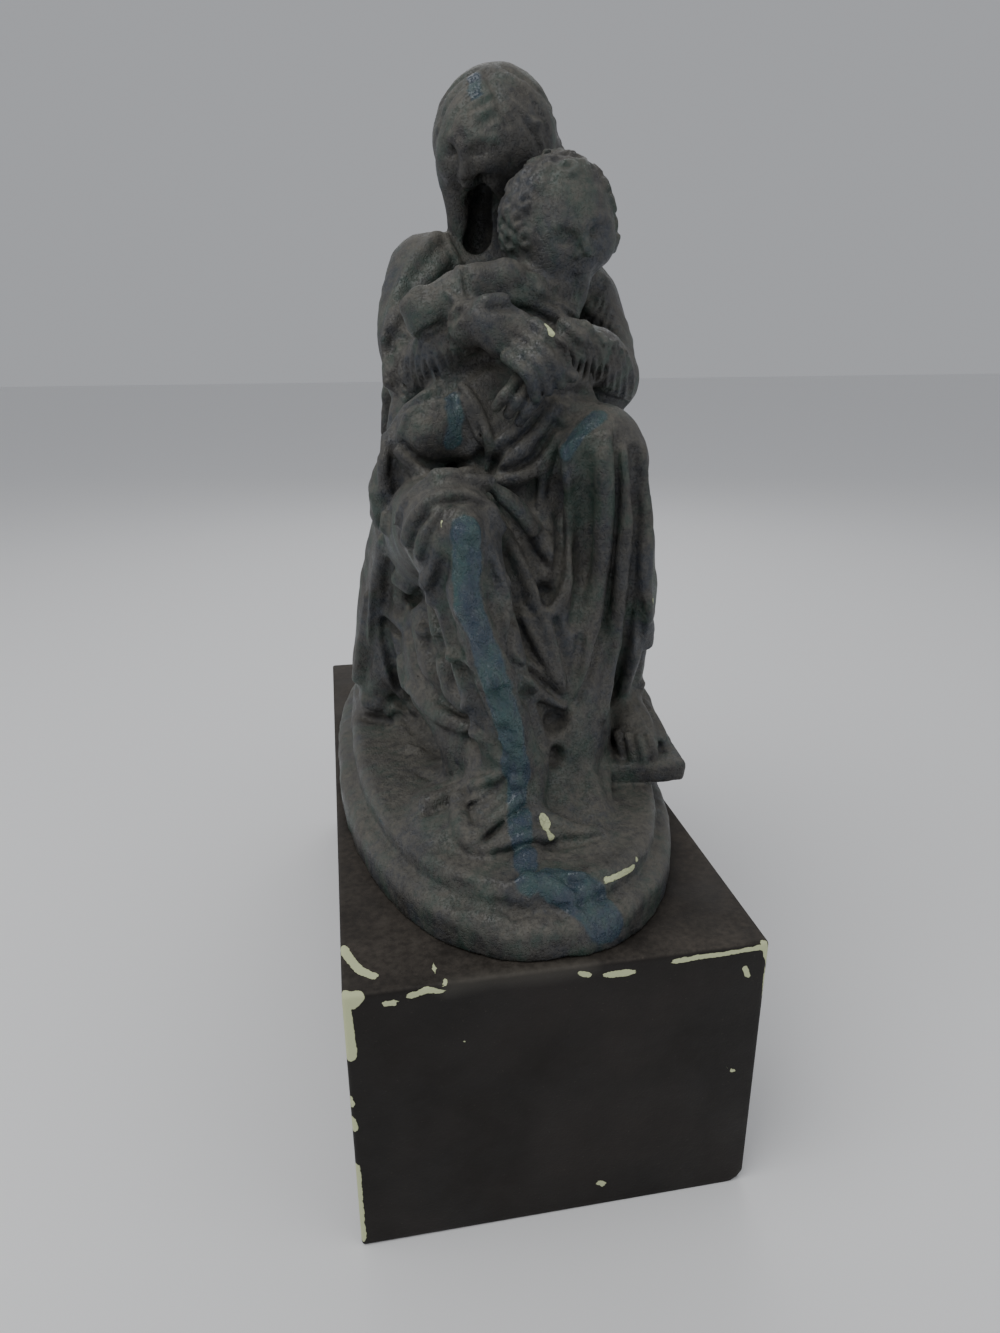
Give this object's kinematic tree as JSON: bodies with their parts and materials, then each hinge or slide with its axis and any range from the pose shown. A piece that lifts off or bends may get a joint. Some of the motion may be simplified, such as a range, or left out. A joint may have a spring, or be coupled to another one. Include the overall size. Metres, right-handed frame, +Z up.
{
  "type": "mother and child figurine",
  "caption": "Seated draped mother holding a curly-haired child, cast with an oval moulded base and fixed on a painted block plinth.",
  "frame": {"origin": "middle of the plinth's underside", "axes": "+Z up, -Y the way the figures face, along the plinth's length, +X towards the mother's left side"},
  "size_m": [0.135, 0.287, 0.3753],
  "materials": {
    "plinth_paint": "near-black brown paint, dusty on top, chipped to a pale yellow-green undercoat at the edges",
    "bronzed_plaster": "plaster painted as dark bronze: semi-gloss charcoal with blue and green patina, grey dust and pale chips"
  },
  "bodies": {
    "root": {"plinth": "plinth_paint", "mother_and_child": "bronzed_plaster"}
  },
  "joints": []
}
